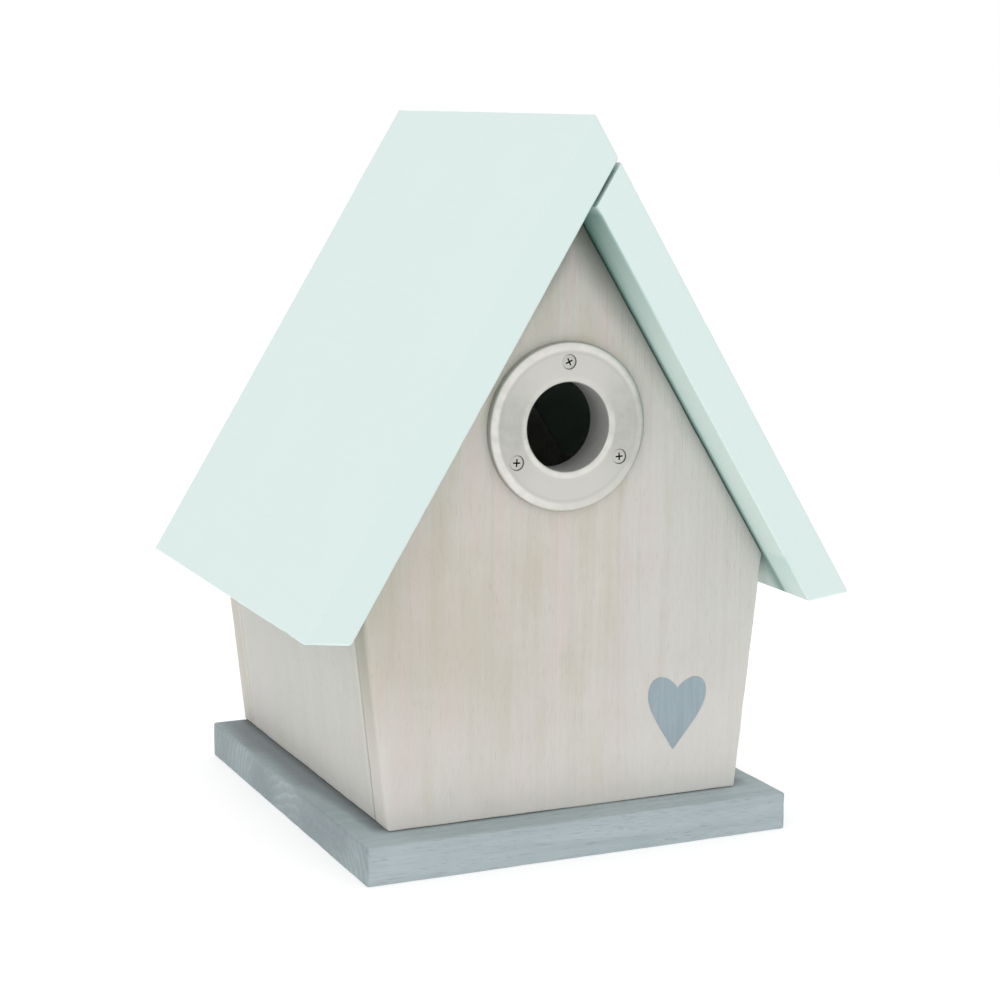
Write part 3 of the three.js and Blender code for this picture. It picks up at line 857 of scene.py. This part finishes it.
def combine(base, cutters, operation="DIFFERENCE"):
    """Cuts meshes from a mesh, or joins them to it, and returns the result as a new mesh."""
    owner = bpy.data.objects.new("combine", base)
    bpy.context.scene.collection.objects.link(owner)
    tools = []
    for cutter in cutters:
        tool = bpy.data.objects.new("tool", cutter)
        bpy.context.scene.collection.objects.link(tool)
        tools.append(tool)
        modifier = owner.modifiers.new("cut", "BOOLEAN")
        modifier.operation, modifier.solver, modifier.object = operation, "EXACT", tool
    graph = bpy.context.evaluated_depsgraph_get()
    result = bpy.data.meshes.new_from_object(owner.evaluated_get(graph), depsgraph=graph)
    for made in [owner, *tools]:
        bpy.data.objects.remove(made)
    return result


def smooth_shade(piece, sharp_angle):
    piece.data.shade_smooth()
    piece.data.set_sharp_from_angle(angle=math.radians(sharp_angle))


def flatten_flats(piece):
    """Keeps the flat faces' shading flat beside rounded edges."""
    piece.modifiers.new("flats", "WEIGHTED_NORMAL").keep_sharp = True


LEAST_SHANK = 0.2 * MM


def fastener_line(node):
    """A CAD fastener's frame, its head and shank radii and its length.

    The frame has Z out of the head and its origin at the head's top.
    """
    vertices = np.array([v.co for v in frame["nodes"][node].data.vertices])
    points = np.unique(vertices.round(7), axis=0)
    middle = points.mean(axis=0)
    axis = np.linalg.svd(points - middle)[2][0]
    along = (points - middle) @ axis
    radius = np.linalg.norm(points - middle - np.outer(along, axis), axis=1)
    if along[radius.argmax()] < 0:
        axis, along = -axis, -along
    out = Vector(axis)
    turn = out.to_track_quat("Z", "Y").to_matrix().to_4x4()
    matrix = Matrix.Translation(Vector(middle) + out * along.max()) @ turn
    shank = min(r for r in radius if r > LEAST_SHANK)
    return matrix, radius.max(), shank, along.max() - along.min()


# A screw's shape, in parts of its head's radius, and the room that its hole leaves.
HEAD_DOME = 0.12
DOME_STEPS = 6
CROSS_REACH = 0.58
CROSS_WIDTH = 0.24
CROSS_DEPTH = 0.6
CROSS_FLOOR = 0.5
RECESS_REACH = 0.72
RECESS_DEPTH = 0.35
SINK_CLEARANCE = 0.05 * MM
SINK_ABOVE = 2 * MM


def cross_cutter(matrix, reach, width, depth):
    """A cross recess, narrower at its floor."""
    w, r = width / 2, reach
    arm = [(w, w), (w, r), (-w, r)]
    outline = arm + [(-y, x) for x, y in arm]
    outline += [(-x, -y) for x, y in outline]
    bm = bmesh.new()
    top = [bm.verts.new((x, y, 0.5 * MM)) for x, y in outline]
    floor = [bm.verts.new((CROSS_FLOOR * x, CROSS_FLOOR * y, -depth)) for x, y in outline]
    bm.faces.new(top)
    bm.faces.new(list(reversed(floor)))
    for i in range(len(outline)):
        bm.faces.new((top[i], top[i - 1], floor[i - 1], floor[i]))
    bm.transform(matrix)
    bmesh.ops.recalc_face_normals(bm, faces=bm.faces)
    return mesh_of(bm, "cross")


def screw(node, body, material, slot, twist):
    """A countersunk cross-recess screw in the place of a CAD one, turned by so many degrees.

    Its attribute says how deep in the recess a point is, so that the recess gets painted shade.
    """
    matrix, head, shank, length = fastener_line(node)
    dome = HEAD_DOME * head
    angles = [math.pi / 2 * k / DOME_STEPS for k in range(1, DOME_STEPS + 1)]
    profile = [(0.0, 0.0)]
    profile += [(head * 0.93 * math.sin(a), -dome * (1 - math.cos(a)) * 0.9) for a in angles]
    profile += [
        (head, -dome * 1.2), (head, -dome * 1.7), (shank * 1.15, -0.55 * head - dome),
        (shank, -0.7 * head - dome), (shank, -length + 2 * shank), (0.0, -length)]
    spin = matrix @ Matrix.Rotation(math.radians(twist), 4, "Z")
    cut = cross_cutter(spin, CROSS_REACH * head, CROSS_WIDTH * head, CROSS_DEPTH * head)
    mesh = combine(turned(profile, SCREW_SIDES, matrix), [cut])
    to_head = matrix.inverted()
    places = [to_head @ v.co for v in mesh.vertices]
    depths = [
        -place.z / (RECESS_DEPTH * head) if place.xy.length < RECESS_REACH * head else 0.0
        for place in places]
    mesh.attributes.new("recess", "FLOAT", "POINT").data.foreach_set("value", np.clip(depths, 0, 1))
    piece = add_object(node + "_fine", mesh, body, material, slot, node)
    smooth_shade(piece, 32)


def countersink(node):
    """The hole that a CAD fastener's head and shank need."""
    matrix, head, shank, length = fastener_line(node)
    wide, narrow = head + SINK_CLEARANCE, shank + SINK_CLEARANCE
    profile = [
        (0.0, SINK_ABOVE), (wide, SINK_ABOVE), (wide, -0.2 * head),
        (narrow, -0.75 * head), (narrow, -length), (0.0, -length - SINK_CLEARANCE)]
    return turned(profile, SCREW_SIDES, matrix)


# ---- Places read from the frame ----

ring_low, ring_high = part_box("entrance_ring")
ring_centre = (ring_low + ring_high) / 2
ring_radius = (ring_high.x - ring_low.x) / 2
ring_bore = min(
    math.hypot(v.co.x - ring_centre.x, v.co.z - ring_centre.z)
    for v in frame["nodes"]["entrance_ring"].data.vertices)
panel_front, panel_back = (corner.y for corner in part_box("front_panel"))
panel_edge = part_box("front_panel")[1].x
back_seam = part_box("back_panel")[0].y
gable_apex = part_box("front_panel")[1].z
base_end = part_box("base_plate")[1].x
base_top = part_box("base_plate")[1].z
wall_foot = min(outline_of("right_wall", 1), key=lambda p: p.y - p.x).x

lid_corners = outline_of("roof_panel_right", 1)
lid_eave = max(lid_corners, key=lambda p: p.x)
lid_top = max(lid_corners, key=lambda p: p.y)
down_slope = Vector((lid_eave.x - lid_top.x, 0, lid_eave.y - lid_top.y)).normalized()
off_slope = Vector((-down_slope.z, 0, down_slope.x))
slope_turn = Matrix((down_slope, Vector((0, 1, 0)), off_slope)).transposed().to_4x4()
roof_slope = -down_slope.z / down_slope.x

# The same places in millimetres, for the shaders.
front_mm, back_mm, rear_seam_mm = panel_front / MM, panel_back / MM, back_seam / MM
edge_mm, apex_mm, foot_mm = panel_edge / MM, gable_apex / MM, wall_foot / MM
base_end_mm, base_top_mm = base_end / MM, base_top / MM


# ---- Materials in use ----

# Each board's shift takes it from another part of the wood, in millimetres.
front_wash = whitewash("front_whitewash", detail=gable_detail)
back_wash = whitewash("back_whitewash", shift=(61, 9, 140), grey=0.2)
left_wash = whitewash("left_whitewash", shift=(37, 23, 75), grey=0.6, detail=wall_detail)
right_wash = whitewash("right_whitewash", shift=(83, 41, 210), grey=0.6, detail=wall_detail)
left_mint = mint_paint("left_mint")
right_mint = mint_paint("right_mint", shift=(120, 35, 60))
base_stain = blue_grey_stain("base_stain")
heart_blue = heart_paint("heart_blue")
ring_metal = ring_satin("ring_satin")
screw_metal = satin_metal("screw_bright", SCREW_METAL, 0.30)
zinc = satin_metal("zinc_plate", ZINC, 0.33)
wire = satin_metal("brad_wire", BRAD_METAL, 0.40)


# ---- Boards ----

def board(node, body, material, slot, drop, cutters=(), edge=BOARD_EDGE):
    """A board in the place of a CAD one, with its outline seen along the axis drop."""
    mesh = board_mesh(node, drop, edge)
    mesh.materials.append(material)
    for cutter in cutters:
        cutter.materials.append(material)
    if cutters:
        mesh = combine(mesh, cutters)
    piece = add_object(node + "_board", mesh, body, material, slot, node)
    smooth_shade(piece, 40)
    flatten_flats(piece)


DRAIN_RADIUS = 3 * MM
DRAIN_X = 35 * MM
DRAIN_Y = (-40 * MM, 56 * MM)
DRAIN_CUT = 30 * MM
BORE_CLEARANCE = 0.3 * MM
BORE_CUT = 40 * MM

FACING = Matrix.Rotation(math.radians(90), 4, "X")


def front_frame(x, y, z):
    """A frame on the front of the house, with Z out of it."""
    return Matrix.Translation((x, y, z)) @ FACING


def make_boards():
    entrance = front_frame(ring_centre.x, panel_front, ring_centre.z)
    bore = cylinder(ring_bore + BORE_CLEARANCE, -BORE_CUT, BORE_CUT, 96, entrance)
    board("front_panel", HOUSING, front_wash, "whitewashed_wood", 1, [bore])
    board("back_panel", HOUSING, back_wash, "whitewashed_wood", 1, pocket_cutters())
    board("left_wall", HOUSING, left_wash, "whitewashed_wood", 1)
    board("right_wall", HOUSING, right_wash, "whitewashed_wood", 1)
    board("roof_panel_left", HOUSING, left_mint, "mint_painted_wood", 1, edge=ROOF_EDGE)
    board("roof_panel_right", LID, right_mint, "mint_painted_wood", 1, edge=ROOF_EDGE)
    drains = [Matrix.Translation((x, y, 0)) for x in (-DRAIN_X, DRAIN_X) for y in DRAIN_Y]
    holes = [cylinder(DRAIN_RADIUS, -DRAIN_CUT, DRAIN_CUT, 32, drain) for drain in drains]
    holes += [countersink(f"base_screw_{i}") for i in range(1, 5)]
    board("base_plate", HOUSING, base_stain, "blue_grey_wood", 2, holes, edge=BASE_EDGE)


# ---- Hanger plate ----

def rounded_plate(low, high, thickness, corner, matrix):
    """A flat plate with round corners, its face at Z 0 of the matrix."""
    left, right = low[0] + corner, high[0] - corner
    bottom, top = low[1] + corner, high[1] - corner
    centres = [(right, top, 0), (left, top, 90), (left, bottom, 180), (right, bottom, 270)]
    outline = [
        point for x, y, start in centres for point in arc(x, y, corner, start, start + 90, 8)]
    bm = bmesh.new()
    face = bm.faces.new([bm.verts.new((x, y, 0)) for x, y in outline])
    lifted = bmesh.ops.extrude_face_region(bm, geom=[face])["geom"]
    for v in lifted:
        if isinstance(v, bmesh.types.BMVert):
            v.co.z -= thickness
    bm.transform(matrix)
    bmesh.ops.recalc_face_normals(bm, faces=bm.faces)
    return mesh_of(bm, "plate")


PLATE_CORNER = 2.5 * MM
PLATE_EDGE = 0.15 * MM
POCKET_CLEARANCE = 0.3 * MM
POCKET_HALF_WIDTH = 8 * MM
POCKET_DEEPER = 4 * MM
POCKET_LEDGE = 1 * MM
CUT_ABOVE = 2 * MM
KEYHOLE_HEAD = 4.5 * MM
KEYHOLE_HEAD_Y = -2.2 * MM
KEYHOLE_HEAD_CUT = 4 * MM
KEYHOLE_SLOT = 2.2 * MM
KEYHOLE_SLOT_Y = (-2 * MM, 5.2 * MM)
KEYHOLE_SLOT_CORNER = 2.1 * MM
KEYHOLE_SLOT_CUT = 6 * MM
HANGER_TWISTS = (20, 65)
plate_low, plate_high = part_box("hanger_plate")
plate_middle = (plate_low + plate_high) / 2
BACKWARD = Matrix.Rotation(math.radians(180), 4, "Z") @ FACING
plate_frame = Matrix.Translation((plate_middle.x, plate_high.y, plate_middle.z)) @ BACKWARD
plate_half = (plate_high - plate_low) / 2
plate_thickness = plate_high.y - plate_low.y


def pocket_cutters():
    """The shallow pocket that holds the plate, and the deeper one behind it for the nail's head."""
    x, y = plate_half.x + POCKET_CLEARANCE, plate_half.z + POCKET_CLEARANCE
    shallow = block((-x, -y, -plate_thickness), (x, y, CUT_ABOVE), plate_frame)
    x, y = POCKET_HALF_WIDTH, plate_half.z - POCKET_LEDGE
    deep = block((-x, -y, -plate_thickness - POCKET_DEEPER), (x, y, CUT_ABOVE), plate_frame)
    return [shallow, deep]


def make_hanger():
    """The keyhole plate: a round hole for a nail's head, with a slot above it for its shank."""
    x, y = plate_half.x, plate_half.z
    plate = rounded_plate((-x, -y), (x, y), plate_thickness, PLATE_CORNER, plate_frame)
    head_frame = plate_frame @ Matrix.Translation((0, KEYHOLE_HEAD_Y, 0))
    head = cylinder(KEYHOLE_HEAD, -KEYHOLE_HEAD_CUT, CUT_ABOVE, 48, head_frame)
    slot_low, slot_high = (-KEYHOLE_SLOT, KEYHOLE_SLOT_Y[0]), (KEYHOLE_SLOT, KEYHOLE_SLOT_Y[1])
    slot_frame = plate_frame @ Matrix.Translation((0, 0, CUT_ABOVE))
    slot = rounded_plate(slot_low, slot_high, KEYHOLE_SLOT_CUT, KEYHOLE_SLOT_CORNER, slot_frame)
    cutters = [head, slot] + [countersink(f"hanger_screw_{i}") for i in (1, 2)]
    mesh = combine(plate, cutters)
    node = "hanger_plate"
    piece = add_object(node + "_fine", mesh, HOUSING, zinc, "zinc_plated_steel", node)
    bevel = piece.modifiers.new("edges", "BEVEL")
    bevel.width, bevel.segments, bevel.limit_method = PLATE_EDGE, 2, "ANGLE"
    bevel.angle_limit = math.radians(35)
    bevel.harden_normals = True
    piece.data.shade_smooth()
    for i, twist in enumerate(HANGER_TWISTS, 1):
        screw(f"hanger_screw_{i}", HOUSING, zinc, "zinc_plated_steel", twist)


# ---- Entrance ring ----

# Half axes of the ring's rounded edges, along its face and square to it, and its screws' turns.
RING_LIP = (1.6 * MM, 0.9 * MM)
RING_EDGE = (3.2 * MM, 1.2 * MM)
RING_TWISTS = (24, 3, -4)


def make_ring():
    """The flat ring, with an elliptical edge outside and a smaller one at the bore."""
    thick = ring_high.y - ring_low.y
    profile = [(ring_bore, 0.0)]
    profile += arc(ring_bore + RING_LIP[0], thick - RING_LIP[1], RING_LIP, 180, 90, 8)
    profile += arc(ring_radius - RING_EDGE[0], thick - RING_EDGE[1], RING_EDGE, 90, 0, 8)
    profile += [(ring_radius, 0.0)]
    ring_frame = front_frame(ring_centre.x, ring_high.y, ring_centre.z)
    plate = turned(profile, 160, ring_frame, closed=True)
    names = [f"ring_screw_{i}" for i in (1, 2, 3)]
    mesh = combine(plate, [countersink(name) for name in names])
    node = "entrance_ring"
    piece = add_object(node + "_fine", mesh, HOUSING, ring_metal, "satin_metal", node)
    smooth_shade(piece, 40)
    for name, twist in zip(names, RING_TWISTS):
        screw(name, HOUSING, screw_metal, "bright_screw", twist)


# ---- Painted heart ----

HEART_SINK = 0.1 * MM
HEART_ROUGHNESS = 0.1 * MM
HEART_WAVE_SCALE = 600


def make_heart():
    """The CAD film with a brushed outline, sunk into the wood by half its thickness."""
    bm = bmesh.new()
    bm.from_mesh(frame["nodes"]["heart_motif"].data)
    for v in bm.verts:
        shift = noise.noise(Vector((v.co.x, 0, v.co.z)) * HEART_WAVE_SCALE) * HEART_ROUGHNESS
        v.co += Vector((shift, HEART_SINK, shift))
    film = mesh_of(bm, "heart")
    add_object("heart_motif_fine", film, HOUSING, heart_blue, "blue_grey_paint", "heart_motif")


# ---- Lid hinges ----

KNUCKLE = 2.3 * MM
KNUCKLE_GAP = 0.15 * MM
KNUCKLE_EDGE = 0.25 * MM
LEAF_THICKNESS = 1.0 * MM
LEAF_WIDTH = 11.5 * MM
LEAF_CORNER = 1.6 * MM
LEAF_CLEARANCE = 0.3 * MM
LEAF_TWISTS = {"fixed": (10, 50), "lid": (40, 80)}
BRIDGE_LAP = 1.7 * MM
BRIDGE_INSET = 0.05 * MM
PIN_RADIUS = 1.1 * MM
PIN_CLEARANCE = 0.1 * MM
PIN_EDGE = 0.5 * MM
PIN_PROUD = 0.6 * MM
PIN_BORE_PROUD = 1 * MM


def knuckle(hinge, start, end, radius, edge=KNUCKLE_EDGE):
    """A rolled knuckle, or the pin, along the hinge line."""
    profile = [(0, 0)] + arc(radius - edge, edge, edge, 270, 360, 3)
    profile += arc(radius - edge, end - start - edge, edge, 0, 90, 3) + [(0, end - start)]
    along = Matrix.Translation((0, start, 0)) @ Matrix.Rotation(math.radians(-90), 4, "X")
    return turned(profile, 40, hinge @ along)


def make_leaf(place, side, spans, hinge, half):
    """A hinge's fixed leaf (side -1) or lid leaf (side 1), with its knuckles, pin bore and screws.

    The bridges from leaf to knuckle are inset a little, so that none of their faces lies in one of
    the leaf's, which would leave the join with bad faces.
    """
    kind, body = ("fixed", HOUSING) if side < 0 else ("lid", LID)
    inner = KNUCKLE + LEAF_CLEARANCE
    low, high = sorted((side * inner, side * LEAF_WIDTH))
    face = hinge @ Matrix.Translation((0, 0, LEAF_THICKNESS - KNUCKLE))
    leaf = rounded_plate((low, -half), (high, half), LEAF_THICKNESS, LEAF_CORNER, face)
    low, high = sorted((0, side * (inner + BRIDGE_LAP)))
    parts = []
    for start, end in spans:
        low_corner = (low, start + BRIDGE_INSET, BRIDGE_INSET - KNUCKLE)
        high_corner = (high, end - BRIDGE_INSET, LEAF_THICKNESS - KNUCKLE - BRIDGE_INSET)
        parts.append(block(low_corner, high_corner, hinge))
        parts.append(knuckle(hinge, start, end, KNUCKLE))
    leaf = combine(leaf, parts, "UNION")
    names = [f"{kind}_leaf_screw_{place}_{i}" for i in (1, 2)]
    bore_end = half + PIN_BORE_PROUD
    bore = knuckle(hinge, -bore_end, bore_end, PIN_RADIUS + PIN_CLEARANCE)
    leaf = combine(leaf, [countersink(name) for name in names] + [bore])
    node = f"hinge_{kind}_leaf_{place}"
    piece = add_object(node + "_fine", leaf, body, zinc, "zinc_plated_steel", node)
    smooth_shade(piece, 35)
    flatten_flats(piece)
    for name, twist in zip(names, LEAF_TWISTS[kind]):
        screw(name, body, zinc, "zinc_plated_steel", twist)


def make_hinges():
    """Two butt hinges across the ridge slot, with the lid's knuckle between two fixed ones."""
    for place in ("front", "rear"):
        low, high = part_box(f"hinge_fixed_leaf_{place}")
        half = (high.y - low.y) / 2
        hinge = Matrix.Translation((pivot.x, (low.y + high.y) / 2, pivot.z)) @ slope_turn
        third = half / 3
        make_leaf(place, -1, [(-half, -third), (third, half)], hinge, half)
        make_leaf(place, 1, [(-third + KNUCKLE_GAP, third - KNUCKLE_GAP)], hinge, half)
        pin_end = half + PIN_PROUD
        pin = knuckle(hinge, -pin_end, pin_end, PIN_RADIUS, PIN_EDGE)
        node = f"hinge_pin_{place}"
        piece = add_object(node + "_fine", pin, HOUSING, zinc, "zinc_plated_steel", node)
        piece.data.shade_smooth()


BASE_TWISTS = (31, 62, 93, 124)


def make_fasteners():
    """The base's screws, and the brads, which keep their CAD shape."""
    for i, twist in enumerate(BASE_TWISTS, 1):
        screw(f"base_screw_{i}", HOUSING, zinc, "zinc_plated_steel", twist)
    for name, node in frame["nodes"].items():
        if "_brad_" in name:
            node.data.materials.clear()
            node.data.materials.append(wire)


make_camera()
make_studio()
make_boards()
make_hanger()
make_ring()
make_heart()
make_hinges()
make_fasteners()
